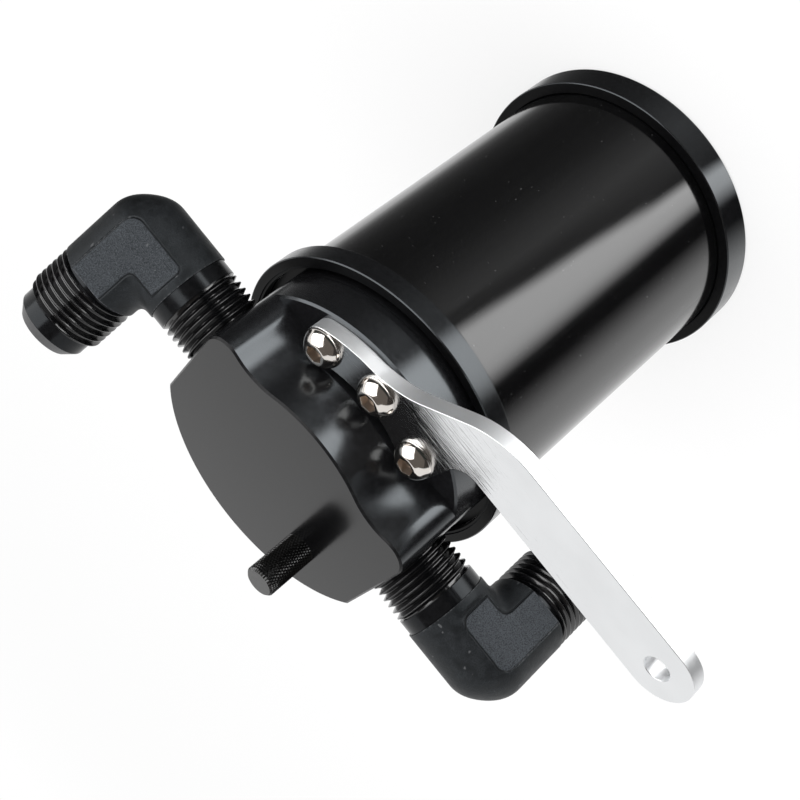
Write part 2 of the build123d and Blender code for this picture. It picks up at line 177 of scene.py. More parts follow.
def newFinish(name, color, roughness, metallic=0.0, ior=1.5):
    finish = bpy.data.materials.new(name)
    finish.use_nodes = True
    shader = finish.node_tree.nodes["Principled BSDF"]
    shader.inputs["Base Color"].default_value = (*color, 1.0)
    shader.inputs["Roughness"].default_value = roughness
    shader.inputs["Metallic"].default_value = metallic
    shader.inputs["IOR"].default_value = ior
    return finish, finish.node_tree, shader


def objectPlace(tree, stretch=(1.0, 1.0, 1.0), turn=(0.0, 0.0, 0.0)):
    coords = tree.nodes.new("ShaderNodeTexCoord")
    mapping = addNode(tree, "ShaderNodeMapping", Scale=stretch, Rotation=turn)
    tree.links.new(coords.outputs["Object"], mapping.inputs["Vector"])
    return mapping.outputs["Vector"]


def vectorStep(tree, operation, first, second=None):
    step = tree.nodes.new("ShaderNodeVectorMath")
    step.operation = operation
    tree.links.new(first, step.inputs[0])
    if second is not None:
        step.inputs[1].default_value = second
    return step.outputs["Value"] if operation == "LENGTH" else step.outputs["Vector"]


def turningPlace(tree):
    # radius and height only, so that noise becomes rings round the can's axis
    place = objectPlace(tree)
    split = tree.nodes.new("ShaderNodeSeparateXYZ")
    both = tree.nodes.new("ShaderNodeCombineXYZ")
    radius = vectorStep(tree, "LENGTH", vectorStep(tree, "MULTIPLY", place, (1.0, 1.0, 0.0)))
    tree.links.new(place, split.inputs["Vector"])
    tree.links.new(radius, both.inputs["X"])
    tree.links.new(split.outputs["Z"], both.inputs["Z"])
    return both.outputs["Vector"]


def noiseOn(tree, place, scale, detail=3.0, rough=0.5):
    noise = addNode(tree, "ShaderNodeTexNoise", Scale=scale, Detail=detail, Roughness=rough)
    tree.links.new(place, noise.inputs["Vector"])
    return noise.outputs["Fac"]


def ranged(tree, source, low, high, fromLow=0.3, fromHigh=0.7):
    span = tree.nodes.new("ShaderNodeMapRange")
    span.inputs["From Min"].default_value = fromLow
    span.inputs["From Max"].default_value = fromHigh
    span.inputs["To Min"].default_value = low
    span.inputs["To Max"].default_value = high
    tree.links.new(source, span.inputs["Value"])
    return span.outputs["Result"]


def blended(tree, share, first, second):
    mix = tree.nodes.new("ShaderNodeMix")
    mix.data_type = "RGBA"
    for socket, value in ((mix.inputs[6], first), (mix.inputs[7], second)):
        if isinstance(value, tuple):
            socket.default_value = (*value, 1.0)
        else:
            tree.links.new(value, socket)
    tree.links.new(share, mix.inputs[0])
    return mix.outputs[2]


def combined(tree, first, second, operation="ADD"):
    math = tree.nodes.new("ShaderNodeMath")
    math.operation = operation
    for socket, value in ((math.inputs[0], first), (math.inputs[1], second)):
        if isinstance(value, float):
            socket.default_value = value
        else:
            tree.links.new(value, socket)
    return math.outputs["Value"]


def bumped(tree, shader, height, distance, strength=1.0):
    bump = addNode(tree, "ShaderNodeBump", Strength=strength, Distance=distance)
    tree.links.new(height, bump.inputs["Height"])
    tree.links.new(bump.outputs["Normal"], shader.inputs["Normal"])


blackTones = dict(
    tube=(0.0016, 0.0016, 0.0018), tubeWorn=(0.003, 0.003, 0.0032), dust=(0.05, 0.05, 0.05),
    head=(0.004, 0.004, 0.0044), headTop=(0.0015, 0.0015, 0.0017), headTopGrain=(0.004, 0.004, 0.0043),
    forged=(0.0052, 0.0058, 0.0065), forgedLight=(0.019, 0.021, 0.0233),
    blasted=(0.007, 0.008, 0.0092), blastedLight=(0.044, 0.0485, 0.055),
    # the machined tone also paints shade into the forging's pressed line, and the next tone, for wear, also
    # paints an edge highlight on its cut ends
    machined=(0.0025, 0.0025, 0.0028), worn=(0.09, 0.092, 0.095),
)


tubeLook = dict(roughness=0.12, ior=1.6, stretch=(1.0, 1.0, 0.012), lines=2600.0, lineSpread=0.04,
                cloud=60.0, cloudSpread=(0.08, 0.12), specks=1500.0, speckEdge=(0.83, 0.86), depth=0.00001,
                strength=0.25)


def tubeFinish(s):
    # black anodised, with faint drawing lines along the tube
    finish, tree, shader = newFinish("tubeBlack", blackTones["tube"], s["roughness"], ior=s["ior"])
    lines = noiseOn(tree, objectPlace(tree, s["stretch"]), s["lines"], 3.0)
    cloud = noiseOn(tree, objectPlace(tree), s["cloud"], 2.0)
    specks = noiseOn(tree, objectPlace(tree), s["specks"], 0.0)
    tone = blended(tree, ranged(tree, lines, 0.0, 1.0), blackTones["tube"], blackTones["tubeWorn"])
    tone = blended(tree, ranged(tree, specks, 0.0, 1.0, *s["speckEdge"]), tone, blackTones["dust"])
    tree.links.new(tone, shader.inputs["Base Color"])
    spread = combined(tree, ranged(tree, lines, 0.0, s["lineSpread"]),
                      ranged(tree, cloud, *s["cloudSpread"]))
    tree.links.new(spread, shader.inputs["Roughness"])
    bumped(tree, shader, lines, s["depth"], s["strength"])
    return finish


coolTint = (0.88, 0.95, 1.0)
turningMarks = dict(rings=5200.0, ringSpread=0.08, grain=900.0, grainSpread=0.04, light=2.0, depth=0.00001,
                    strength=0.35)


def turnedFinish(name, tone, roughness, ior=1.55, tint=(1.0, 1.0, 1.0)):
    # black anodised with fine turning rings
    s = turningMarks
    finish, tree, shader = newFinish(name, tone, roughness, ior=ior)
    shader.inputs["Specular Tint"].default_value = (*tint, 1.0)
    rings = noiseOn(tree, turningPlace(tree), s["rings"], 2.0)
    grain = noiseOn(tree, objectPlace(tree), s["grain"], 3.0)
    lighter = tuple(s["light"] * t for t in tone)
    tree.links.new(blended(tree, ranged(tree, grain, 0.0, 1.0), tone, lighter), shader.inputs["Base Color"])
    spread = combined(tree, ranged(tree, rings, 0.0, s["ringSpread"]),
                      ranged(tree, grain, roughness - s["grainSpread"], roughness))
    tree.links.new(spread, shader.inputs["Roughness"])
    bumped(tree, shader, rings, s["depth"], s["strength"])
    return finish


headTopLook = dict(roughness=0.16, ior=1.44, grain=6500.0, grainSpread=0.03, cloud=45.0,
                   cloudSpread=(0.13, 0.16), depth=0.000012, strength=0.3)


def headTopFinish(s):
    # satin: very fine even grain
    finish, tree, shader = newFinish("headTopSatin", blackTones["headTop"], s["roughness"], ior=s["ior"])
    grain = noiseOn(tree, objectPlace(tree), s["grain"], 2.0)
    cloud = noiseOn(tree, objectPlace(tree), s["cloud"], 3.0)
    tone = blended(tree, ranged(tree, grain, 0.0, 1.0), blackTones["headTop"], blackTones["headTopGrain"])
    tree.links.new(tone, shader.inputs["Base Color"])
    spread = combined(tree, ranged(tree, grain, 0.0, s["grainSpread"]),
                      ranged(tree, cloud, *s["cloudSpread"]))
    tree.links.new(spread, shader.inputs["Roughness"])
    bumped(tree, shader, grain, s["depth"], s["strength"])
    return finish


def slabDistance(tree, place, low, high, rounding):
    # how far a place lies outside a rectangle with rounded corners
    centre = tuple((a + b) / 2 for a, b in zip(low, high)) + (0.0,)
    half = tuple((b - a) / 2 - rounding for a, b in zip(low, high)) + (0.0,)
    folded = vectorStep(tree, "ABSOLUTE", vectorStep(tree, "SUBTRACT", place, centre))
    beyond = vectorStep(tree, "SUBTRACT", folded, half)
    outside = vectorStep(tree, "LENGTH", vectorStep(tree, "MAXIMUM", beyond, (0.0, 0.0, 0.0)))
    split = tree.nodes.new("ShaderNodeSeparateXYZ")
    tree.links.new(beyond, split.inputs["Vector"])
    nearest = combined(tree, split.outputs["X"], split.outputs["Y"], "MAXIMUM")
    inside = combined(tree, nearest, 0.0, "MINIMUM")
    return combined(tree, combined(tree, outside, inside), -rounding)


# Blasted pads of the two elbows, in millimetres from the bend; beyond is past any end of the forging. The
# outlet's pads are painted lighter than the inlet's: lit and shaded copies of one finish, as painted light
inletPad = dict(half=4.85, arm=12.6, corner=3.6, armCorner=1.2, inner=3.4, beyond=40.0,
                light=0.95, legGloss=0.22)
outletPad = dict(half=4.85, arm=11.5, corner=3.4, armCorner=2.9, inner=5.2, beyond=40.0,
                 light=1.55, legGloss=0.5)
forgedLook = dict(roughness=0.5, spread=(0.42, 0.56), ior=1.31, grain=3400.0, grainEdge=(0.36, 0.66),
                  lumps=420.0, specks=1500.0, rubEdge=(0.45, 0.7), rubShare=0.8, nicks=800.0,
                  nickStretch=(1.0, 1.0, 0.4), nickTurn=(0.5, 0.3, 0.0), nickEdge=(0.8, 0.84), nickShare=0.6,
                  padFade=(-0.3, 0.05), lineRise=(-0.2, 0.1), lineFall=(0.15, 0.45), armFade=(0.2, 1.6),
                  armRim=(14.9, 15.15), legRim=(15.5, 15.75), gloss=0.5, glossFade=(-8.5, -4.5),
                  padDepth=0.7, skinDepth=0.3, lumpDepth=0.8, lineDepth=-2.0, depth=0.00014, strength=0.8)


def padDistance(tree, place, along, s):
    # an angle-shaped outline: the two arms' inner sides meet in a fillet, the outer corners are rounded
    inner = tree.nodes.new("ShaderNodeMath")
    inner.operation = "SMOOTH_MIN"
    inner.inputs[2].default_value = s["inner"]
    for socket, way in ((inner.inputs[0], "X"), (inner.inputs[1], "Y")):
        tree.links.new(combined(tree, along.outputs[way], -s["half"]), socket)
    low = (-s["half"], -s["half"])
    ends = slabDistance(tree, place, low, (s["arm"], s["beyond"]), s["armCorner"])
    bend = slabDistance(tree, place, low, (s["beyond"], s["beyond"]), s["corner"])
    return combined(tree, combined(tree, ends, bend, "MAXIMUM"), inner.outputs["Value"], "MAXIMUM")


def forgedFinish(name, s, look):
    # bare forging skin, black anodised: lighter blasted pads with a pressed line round them and edge wear;
    # the line's arm side is painted shade, and the wear bands at the cut ends also carry a painted edge
    # highlight
    finish, tree, shader = newFinish(name, blackTones["forged"], look["roughness"], ior=look["ior"])
    shader.inputs["Specular Tint"].default_value = (*coolTint, 1.0)
    padPlace = tree.nodes.new("ShaderNodeAttribute")
    padPlace.attribute_name = "padPlace"
    along = tree.nodes.new("ShaderNodeSeparateXYZ")
    tree.links.new(padPlace.outputs["Vector"], along.inputs["Vector"])
    armWay, legWay = along.outputs["X"], along.outputs["Y"]

    grain = noiseOn(tree, objectPlace(tree), look["grain"], 3.0, 0.6)
    lumps = noiseOn(tree, objectPlace(tree), look["lumps"], 3.0)
    specks = noiseOn(tree, objectPlace(tree), look["specks"], 2.0)
    nicks = noiseOn(tree, objectPlace(tree, look["nickStretch"], look["nickTurn"]), look["nicks"], 0.0)
    padEdge = padDistance(tree, padPlace.outputs["Vector"], along, s)
    pad = ranged(tree, padEdge, 1.0, 0.0, *look["padFade"])
    line = combined(tree, ranged(tree, padEdge, 0.0, 1.0, *look["lineRise"]),
                    ranged(tree, padEdge, 1.0, 0.0, *look["lineFall"]), "MULTIPLY")

    patchy = combined(tree, ranged(tree, lumps, 0.0, 1.0), ranged(tree, grain, 0.0, 1.0, *look["grainEdge"]),
                      "MULTIPLY")
    tone = blended(tree, patchy, blackTones["forged"], blackTones["forgedLight"])
    # painted light: how far the pad grain reaches the lighter blasted tone differs between the two elbows
    blastedTone = blended(tree, ranged(tree, grain, 0.0, s["light"], *look["grainEdge"]),
                          blackTones["blasted"], blackTones["blastedLight"])
    tone = blended(tree, pad, tone, blastedTone)
    # painted shade: along its arm side the pressed line takes the darkest tone, as shade in the groove; its
    # leg side shows wear
    armSideShade = ranged(tree, armWay, 0.0, 1.0, *(fade - s["half"] for fade in look["armFade"]))
    tone = blended(tree, combined(tree, line, armSideShade, "MULTIPLY"), tone, blackTones["machined"])
    legSide = combined(tree, combined(tree, 1.0, armSideShade, "SUBTRACT"), line, "MULTIPLY")
    # bands at both cut ends get speckles of the lighter wear tone: real wear that also stands in for a
    # painted edge highlight
    rimsWornAndLit = combined(tree, ranged(tree, armWay, 0.0, 1.0, *look["armRim"]),
                    ranged(tree, legWay, 0.0, 1.0, *look["legRim"]), "MAXIMUM")
    rubbedAndLit = combined(tree, combined(tree, legSide, rimsWornAndLit, "MAXIMUM"),
                      ranged(tree, specks, 0.0, look["rubShare"], *look["rubEdge"]), "MULTIPLY")
    nicked = ranged(tree, nicks, 0.0, look["nickShare"], *look["nickEdge"])
    rubbedAndLit = combined(tree, rubbedAndLit, nicked, "MAXIMUM")
    tone = blended(tree, rubbedAndLit, tone, blackTones["worn"])

    tree.links.new(tone, shader.inputs["Base Color"])
    tree.links.new(ranged(tree, lumps, *look["spread"]), shader.inputs["Roughness"])
    gloss = ranged(tree, armWay, s["legGloss"], look["gloss"], *look["glossFade"])
    tree.links.new(gloss, shader.inputs["Specular IOR Level"])
    depth = combined(tree, combined(tree, pad, look["padDepth"], "MULTIPLY"), look["skinDepth"])
    height = combined(tree, combined(tree, grain, depth, "MULTIPLY"),
                      combined(tree, lumps, look["lumpDepth"], "MULTIPLY"))
    height = combined(tree, height, combined(tree, line, look["lineDepth"], "MULTIPLY"))
    bumped(tree, shader, height, look["depth"], look["strength"])
    return finish


metalMarks = dict(cloud=120.0, shade=0.93, depth=0.000004, strength=0.3)


def metalFinish(name, tone, low, high, stretch=(1.0, 1.0, 1.0), scale=2500.0):
    # bare metal with fine lines; the stretch sets their way
    s = metalMarks
    finish, tree, shader = newFinish(name, tone, low, metallic=1.0)
    lines = noiseOn(tree, objectPlace(tree, stretch), scale, 3.0)
    cloud = noiseOn(tree, objectPlace(tree), s["cloud"], 2.0)
    darker = tuple(s["shade"] * t for t in tone)
    tree.links.new(blended(tree, ranged(tree, cloud, 0.0, 1.0), tone, darker), shader.inputs["Base Color"])
    tree.links.new(ranged(tree, lines, low, high), shader.inputs["Roughness"])
    bumped(tree, shader, lines, s["depth"], s["strength"])
    return finish


plateLook = dict(tone=(0.8, 0.81, 0.82), roughness=0.1, fine=6000.0, fineStretch=(0.03, 1.0, 1.0),
                 fineSpread=0.1, deep=2100.0, deepStretch=(0.05, 1.0, 1.0), deepTurn=(0.0, 0.0, 0.06),
                 deepSpread=(0.05, 0.1), cloud=70.0, faceShade=0.94, cutLight=1.04, cutShade=0.96,
                 cutSpread=0.42, fineDepth=0.35, depth=0.00007, strength=0.6)


def plateFinish(s):
    # polished by belt along the arm: fine lines and a few deeper scratches; its cut edges are matt
    tone = s["tone"]
    finish, tree, shader = newFinish("polishedPlate", tone, s["roughness"], metallic=1.0)
    fine = noiseOn(tree, objectPlace(tree, s["fineStretch"]), s["fine"], 3.0)
    deep = noiseOn(tree, objectPlace(tree, s["deepStretch"], s["deepTurn"]), s["deep"], 2.0)
    cloud = noiseOn(tree, objectPlace(tree), s["cloud"], 2.0)
    upward = tree.nodes.new("ShaderNodeAttribute")
    upward.attribute_name = "upward"
    patches = ranged(tree, cloud, 0.0, 1.0)
    face = blended(tree, patches, tone, tuple(s["faceShade"] * t for t in tone))
    cutEdge = blended(tree, patches, tuple(s["cutLight"] * t for t in tone),
                      tuple(s["cutShade"] * t for t in tone))
    tree.links.new(blended(tree, upward.outputs["Fac"], cutEdge, face), shader.inputs["Base Color"])
    spread = combined(tree, ranged(tree, fine, 0.0, s["fineSpread"]), ranged(tree, deep, *s["deepSpread"]))
    matt = ranged(tree, upward.outputs["Fac"], s["cutSpread"], 0.0, 0.0, 1.0)
    tree.links.new(combined(tree, spread, matt), shader.inputs["Roughness"])
    lines = combined(tree, combined(tree, fine, s["fineDepth"], "MULTIPLY"), deep)
    lines = combined(tree, lines, upward.outputs["Fac"], "MULTIPLY")
    bumped(tree, shader, lines, s["depth"], s["strength"])
    return finish


rubberLook = dict(tone=(0.012, 0.012, 0.012), dark=(0.009, 0.009, 0.009), light=(0.018, 0.018, 0.018),
                  roughness=0.5, spread=(0.42, 0.6), grain=2200.0, depth=0.00003, strength=0.4)


def rubberFinish(s):
    finish, tree, shader = newFinish("sealRubber", s["tone"], s["roughness"])
    grain = noiseOn(tree, objectPlace(tree), s["grain"], 4.0)
    tree.links.new(ranged(tree, grain, *s["spread"]), shader.inputs["Roughness"])
    tone = blended(tree, ranged(tree, grain, 0.0, 1.0), s["dark"], s["light"])
    tree.links.new(tone, shader.inputs["Base Color"])
    bumped(tree, shader, grain, s["depth"], s["strength"])
    return finish


wireLook = dict(tone=(0.5, 0.49, 0.47), gap=(0.03, 0.03, 0.03), wire=(0.6, 0.59, 0.56), wireEdge=(0.45, 0.9),
                roughness=0.35, spread=(0.6, 0.25), turns=(0.6, -0.55), lean=0.4, loops=190.0, distortion=6.0,
                detail=2.0, detailScale=3.0, depth=0.0006, strength=0.8)


def wirePadFinish(s):
    # knitted wire: two crossed sets of fine loops over dark openings, the dark being painted shade between
    # the loops
    finish, tree, shader = newFinish("knittedWire", s["tone"], s["roughness"], metallic=1.0)
    sets = []
    for turn in s["turns"]:
        wave = addNode(tree, "ShaderNodeTexWave", Scale=s["loops"], Distortion=s["distortion"],
                       Detail=s["detail"])
        wave.inputs["Detail Scale"].default_value = s["detailScale"]
        tree.links.new(objectPlace(tree, turn=(turn, s["lean"], turn)), wave.inputs["Vector"])
        sets.append(wave.outputs["Fac"])
    wires = combined(tree, sets[0], sets[1], "MAXIMUM")
    # painted shade: between the loops the tone falls to near black
    tone = blended(tree, ranged(tree, wires, 0.0, 1.0, *s["wireEdge"]), s["gap"], s["wire"])
    tree.links.new(tone, shader.inputs["Base Color"])
    tree.links.new(ranged(tree, wires, *s["spread"]), shader.inputs["Roughness"])
    bumped(tree, shader, wires, s["depth"], s["strength"])
    return finish


finishes = dict(
    tube=tubeFinish(tubeLook),
    ring=turnedFinish("ringBlack", (0.003, 0.003, 0.0033), 0.18, tint=coolTint),
    ringFace=turnedFinish("ringFaceMatt", (0.0022, 0.0022, 0.0024), 0.3, ior=1.16),
    headEdge=turnedFinish("headEdgeBlack", blackTones["head"], 0.25, ior=1.24),
    head=turnedFinish("headBlack", blackTones["head"], 0.17, ior=1.62, tint=coolTint),
    headTop=headTopFinish(headTopLook),
    forgedInlet=forgedFinish("forgedInlet", inletPad, forgedLook),
    forgedOutlet=forgedFinish("forgedOutlet", outletPad, forgedLook),
    machined=turnedFinish("machinedBlack", blackTones["machined"], 0.15, ior=1.3, tint=coolTint),
    thread=turnedFinish("threadBlack", blackTones["machined"], 0.11, ior=1.65),
    cone=turnedFinish("coneSatin", (0.017, 0.017, 0.018), 0.4, ior=1.6),
    knob=turnedFinish("knobBlack", (0.0015, 0.0015, 0.0015), 0.14, ior=1.65),
    knobEnd=turnedFinish("knobEndSatin", (0.021, 0.021, 0.021), 0.3, ior=1.5),
    plate=plateFinish(plateLook),
    screw=metalFinish("screwSteel", (0.74, 0.7, 0.66), 0.06, 0.13),
    # the hex socket's darker brown tone is painted shade in the recess; its higher roughness is the socket's
    # duller finish
    socket=metalFinish("socketShadedSteel", (0.45, 0.385, 0.33), 0.3, 0.4),
    rod=metalFinish("rodSteel", (0.7, 0.7, 0.69), 0.16, 0.28, (1.0, 1.0, 0.02), 5000.0),
    alloy=metalFinish("plainAlloy", (0.68, 0.69, 0.7), 0.26, 0.42, (1.0, 1.0, 0.05), 3000.0),
    wirePad=wirePadFinish(wireLook),
    seal=rubberFinish(rubberLook),
)
print("finishes ready:", len(finishes))

# Can: tube, collar and bottom cap

canSizes = dict(segments=180, tubeR=38.0, boreR=35.0, tubeFoot=5.0, tubeTop=103.5, tubeEdge=0.2,
                ringR=41.25, ringBoreR=38.05, chamfer=0.28, collarLow=100.8, collarHigh=106.6,
                collarEdge=0.06, stepR=38.8, stepSlope=0.2, stepDepth=0.35, facingUp=0.9)
capSizes = dict(top=9.0, floor=5.0, mouthBreak=0.3, edge=0.08, spigotR=34.85, spigotTop=15.0,
                spigotBoreR=30.85, grooveR=32.5, grooveLow=8.5, grooveHigh=11.5, bossR=11.0, bossTop=12.0,
                drainR=5.1, recessR=8.0, recessTop=4.0)


def buildCan(s, c):
    tube = turned("canTube", sleeve(s["boreR"], s["tubeR"], s["tubeFoot"], s["tubeTop"]), s["segments"],
                  s["tubeEdge"])
    tube.data.materials.append(finishes["tube"])
    outer, inner, cut = s["ringR"], s["ringBoreR"], s["chamfer"]
    low, high, step = s["collarLow"], s["collarHigh"], s["collarHigh"] - s["stepDepth"]
    collar = turned("canCollar", [
        (inner, low), (outer - cut, low), (outer, low + cut), (outer, high - cut), (outer - cut, high),
        (s["stepR"], high), (s["stepR"] - s["stepSlope"], step), (inner, step)],
        s["segments"], s["collarEdge"])
    collar.data.materials.append(finishes["ring"])
    top, floor, mouth = c["top"], c["floor"], c["mouthBreak"]
    cap = turned("canBase", [
        (c["recessR"], 0.0), (outer - cut, 0.0), (outer, cut), (outer, top - cut), (outer - cut, top),
        (inner + mouth, top), (inner, top - mouth), (inner, floor), (c["spigotR"], floor),
        (c["spigotR"], c["grooveLow"]), (c["grooveR"], c["grooveLow"]), (c["grooveR"], c["grooveHigh"]),
        (c["spigotR"], c["grooveHigh"]), (c["spigotR"], c["spigotTop"]), (c["spigotBoreR"], c["spigotTop"]),
        (c["spigotBoreR"], floor), (c["bossR"], floor), (c["bossR"], c["bossTop"]),
        (c["drainR"], c["bossTop"]), (c["drainR"], c["recessTop"]), (c["recessR"], c["recessTop"])],
        s["segments"], c["edge"])
    cap.data.materials.append(finishes["ring"])
    for piece, node in ((tube, "tube"), (collar, "collar"), (cap, "bottom_cap")):
        piece.data.materials.append(finishes["ringFace"])
        for face in piece.data.polygons:
            if face.normal.z > s["facingUp"] and hypot(face.center.x, face.center.y) > s["boreR"]:
                face.material_index = 1
        evened(piece)
        placed(piece)
        dress(piece, "can", "black_tube", node)


buildCan(canSizes, capSizes)
print("can built")

# Head: the solid's own shape with smooth walls and a satin top face

headSizes = dict(topZ=136.6, topBand=0.05, edgeBreak=1.0, seatZ=108.0, facingUp=0.9, leaning=0.3,
                 smoothAngle=25)


def buildHead(s):
    head = cadCopy("head", "headBlock")
    for finish in ("head", "headTop", "headEdge"):
        head.data.materials.append(finishes[finish])
    for face in head.data.polygons:
        up, z = face.normal.z, face.center.z
        if up > s["facingUp"] and z > s["topZ"] - s["topBand"]:
            face.material_index = 1
        elif up > s["leaning"] and (z > s["topZ"] - s["edgeBreak"] or z < s["seatZ"]):
            face.material_index = 2
    smoothed(head, s["smoothAngle"])
    placed(head)
    dress(head, "head", "black_head", "head")


buildHead(headSizes)
print("head built")

# Elbows: modelled once with X along the pipe thread, Y along the hose end and Z across, then copied

elbowSizes = dict(
    armEnd=15.2, legEnd=15.8, spare=0.6, runOn=2.6, reach=20, boreR=6.2, segments=128, ringR=10.7,
    ringStart=14.4, ringEnd=19.2, ringEdge=0.12, neckR=9.9, neckStart=14.8, neckEnd=17.6, noseR=9.6,
    noseStart=28.3, noseEnd=32.5, noseEdge=0.1, coneTip=35.41, coneR=7.4, coneStart=0.1, coneInset=0.4,
)
forgingSizes = dict(skin=0.3, bendFlat=0.055, factor=0.5, softness=10, crotchSoftness=70, crotchStart=1.5,
                    crotchSpan=3, boreMargin=1.5, smoothAngle=40)
pipeThread = dict(start=19.0, end=38.7, crest=10.83, root=9.45, pitch=1.814, crestFlat=0.2, rootFlat=0.1,
                  crestRound=0.07, taper=1 / 32, leadIn=0.12)
hoseThread = dict(start=16.7, end=28.7, crest=11.0, root=9.85, pitch=1.814, crestFlat=0.24, rootFlat=0.2,
                  crestRound=0.08, taper=0.0, leadIn=0.18)
threadCuts = dict(steps=96, spareTeeth=4, firstTooth=1.6, startSlope=2, endSlope=1.2, rootDip=0.2)
portZ = 124.95
inletTilt = radians(-47.5)
outletPlace = Matrix(((-1, 0, 0, 64.1), (0, 0, -1, 0), (0, -1, 0, portZ), (0, 0, 0, 1)))
inletPlace = Matrix(((1, 0, 0, -63.8), (0, sin(inletTilt), -cos(inletTilt), 0),
                     (0, cos(inletTilt), sin(inletTilt), portZ), (0, 0, 0, 1)))


def threaded(name, t, c, boreR):
    # a zigzag wire of all the teeth is screwed round once, so that each tooth runs into the next
    pitch, start, end, root = t["pitch"], t["start"], t["end"], t["root"]
    flank = (pitch - t["crestFlat"] - t["rootFlat"]) / 2
    wire = []
    for tooth in range(int((end - start) / pitch) + c["spareTeeth"]):
        foot = start + (tooth - c["firstTooth"]) * pitch
        rise = foot + t["rootFlat"]
        wire += [(root, foot), (root, rise), (t["crest"], rise + flank), (t["crest"], foot + pitch - flank)]
    piece = wireLoop(name, wire)
    closing = {0, len(wire) - 1}
    selectWhere(piece, lambda co: False)
    bpy.ops.mesh.select_mode(type="EDGE")
    closeMesh()
    for edge in piece.data.edges:
        edge.select = set(edge.vertices) == closing
    bpy.ops.object.mode_set(mode="EDIT")
    bpy.ops.mesh.delete(type="EDGE")
    closeMesh()
    selectWhere(piece, lambda co: co.x > t["crest"] - 0.001)
    bpy.ops.mesh.bevel(offset=t["crestRound"], segments=2, affect="VERTICES")
    closeMesh()
    screw = piece.modifiers.new("turn", "SCREW")
    screw.axis = "Z"
    screw.angle = 2 * pi
    screw.screw_offset = pitch
    screw.iterations = 1
    screw.steps = c["steps"]
    screw.render_steps = c["steps"]
    applyModifiers(piece)
    openMesh(piece)
    bpy.ops.mesh.remove_doubles(threshold=0.002)
    bpy.ops.mesh.bisect(plane_co=(0, 0, start), plane_no=(0, 0, 1), clear_inner=True, threshold=0.00001)
    bpy.ops.mesh.select_all(action="SELECT")
    bpy.ops.mesh.bisect(plane_co=(0, 0, end), plane_no=(0, 0, 1), clear_outer=True, threshold=0.00001)
    closeMesh()
    for point in piece.data.vertices:
        radius = hypot(point.co.x, point.co.y)
        past, left = point.co.z - start, end - point.co.z
        reach = min(radius, root + past * c["startSlope"] + t["leadIn"], root + left * c["endSlope"])
        reach = max(reach, root - c["rootDip"]) - past * t["taper"]
        point.co.x *= reach / radius
        point.co.y *= reach / radius
    for level in (start, end):
        selectWhere(piece, lambda co: abs(co.z - level) < 0.001 and hypot(co.x, co.y) > boreR + 0.01)
        bpy.ops.mesh.extrude_edges_move()
        closeMesh()
        for point in piece.data.vertices:
            if point.select:
                radius = hypot(point.co.x, point.co.y)
                point.co.x *= boreR / radius
                point.co.y *= boreR / radius
    openMesh(piece, "DESELECT")
    bpy.ops.mesh.select_mode(type="EDGE")
    bpy.ops.mesh.select_non_manifold(use_wire=False, use_multi_face=False, use_non_contiguous=False,
                                     use_verts=False)
    bpy.ops.mesh.bridge_edge_loops()
    bpy.ops.mesh.select_all(action="SELECT")
    bpy.ops.mesh.normals_make_consistent(inside=False)
    closeMesh()
    return piece


def keepInside(piece, low, high):
    # keeps what lies in a box
    pickNone()
    bpy.ops.mesh.primitive_cube_add(size=1)
    box = bpy.context.object
    box.data.transform(Matrix.Translation((Vector(low) + Vector(high)) / 2)
                       @ Matrix.Diagonal((*(Vector(high) - Vector(low)), 1)))
    cut = piece.modifiers.new("cut", "BOOLEAN")
    cut.operation = "INTERSECT"
    cut.solver = "EXACT"
    cut.object = box
    applyModifiers(piece)
    bpy.data.objects.remove(box)


def forgedBody(s, f):
    body = cadCopy("outlet_elbow", "forgedBody")
    body.data.transform(outletPlace.inverted())
    corner, spare = (-s["reach"],) * 3, s["spare"]
    keepInside(body, corner, (s["armEnd"] - spare, s["legEnd"] - spare, s["reach"]))
    for point in body.data.vertices:         # both ends run on, to be cut off clean after the softening
        if abs(point.co.x - s["armEnd"] + spare) < 0.001:
            point.co.x += s["runOn"]
        if abs(point.co.y - s["legEnd"] + spare) < 0.001:
            point.co.y += s["runOn"]
    skin = body.modifiers.new("skin", "REMESH")
    skin.mode = "VOXEL"
    skin.voxel_size = f["skin"]
    applyModifiers(body)
    crotch = body.vertex_groups.new(name="crotch")
    for point in body.data.vertices:
        arm, leg, side = point.co
        share = 1.0
        for reach in (arm, leg):
            share *= min(max((reach - f["crotchStart"]) / f["crotchSpan"], 0), 1)
        clear = s["boreR"] + f["boreMargin"]
        if share > 0 and hypot(arm, side) > clear and hypot(leg, side) > clear:
            crotch.add([point.index], share, "REPLACE")
        if arm < 0 and leg < 0:              # the outer bend is a little flatter than a ball
            flatter = 1 - f["bendFlat"] * (2 * arm * leg / (arm * arm + leg * leg)) ** 2
            point.co.x *= flatter
            point.co.y *= flatter
    soft = body.modifiers.new("soft", "SMOOTH")
    soft.factor = f["factor"]
    soft.iterations = f["softness"]
    valley = body.modifiers.new("valley", "SMOOTH")
    valley.factor = f["factor"]
    valley.iterations = f["crotchSoftness"]
    valley.vertex_group = "crotch"
    applyModifiers(body)
    body.vertex_groups.clear()
    keepInside(body, corner, (s["armEnd"], s["legEnd"], s["reach"]))
    padPlace = body.data.attributes.new("padPlace", "FLOAT_VECTOR", "POINT")
    for i, point in enumerate(body.data.vertices):
        padPlace.data[i].vector = (point.co.x, point.co.y, 0.0)
    body.data.materials.append(finishes["forgedInlet"])
    smoothed(body, f["smoothAngle"])
    return body


